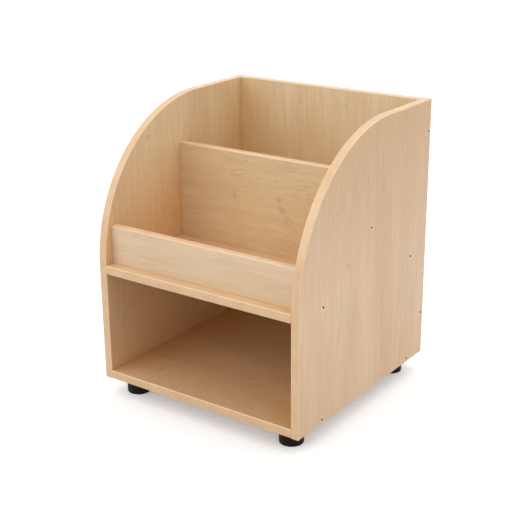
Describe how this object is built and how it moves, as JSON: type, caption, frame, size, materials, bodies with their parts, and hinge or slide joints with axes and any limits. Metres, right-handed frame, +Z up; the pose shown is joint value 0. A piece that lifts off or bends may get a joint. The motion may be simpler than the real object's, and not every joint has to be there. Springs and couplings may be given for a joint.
{
  "type": "picture book browser bin",
  "caption": "Low open picture book bin: face-out rows behind a low front rail and a taller divider, over an open cubby, between sides with a quarter-round front, on short round feet.",
  "frame": {"origin": "on the floor, under the middle of the bin's square footprint", "axes": "+Z up; the open front faces -Y and the back panel +Y; +X to the right of someone facing the front"},
  "size_m": [0.48, 0.48, 0.592],
  "materials": {
    "maple_board": "satin maple-look melamine on 18 mm chipboard",
    "edge_band": "satin plastic edge band in the boards' colour",
    "zinc_screw": "bright zinc plated steel",
    "beech_biscuit": "pressed beech, unfinished",
    "black_foot": "moulded black plastic"
  },
  "bodies": {
    "root": {"back_base_band": "edge_band", "back_panel": "maple_board", "back_screws": "zinc_screw", "back_top_band": "edge_band", "bin_floor_shelf": "maple_board", "bottom_front_band": "edge_band", "bottom_panel": "maple_board", "bottom_screws": "zinc_screw", "divider_biscuits": "beech_biscuit", "divider_panel": "maple_board", "divider_screws": "zinc_screw", "divider_top_band": "edge_band", "front_feet": "black_foot", "front_rail": "maple_board", "left_side_base_band": "edge_band", "left_side_edge_band": "edge_band", "left_side_panel": "maple_board", "left_side_rear_band": "edge_band", "rail_base_biscuits": "beech_biscuit", "rail_end_biscuits": "beech_biscuit", "rail_top_band": "edge_band", "rear_feet": "black_foot", "right_side_base_band": "edge_band", "right_side_edge_band": "edge_band", "right_side_panel": "maple_board", "right_side_rear_band": "edge_band", "shelf_front_band": "edge_band", "shelf_screws": "zinc_screw"}
  },
  "joints": []
}
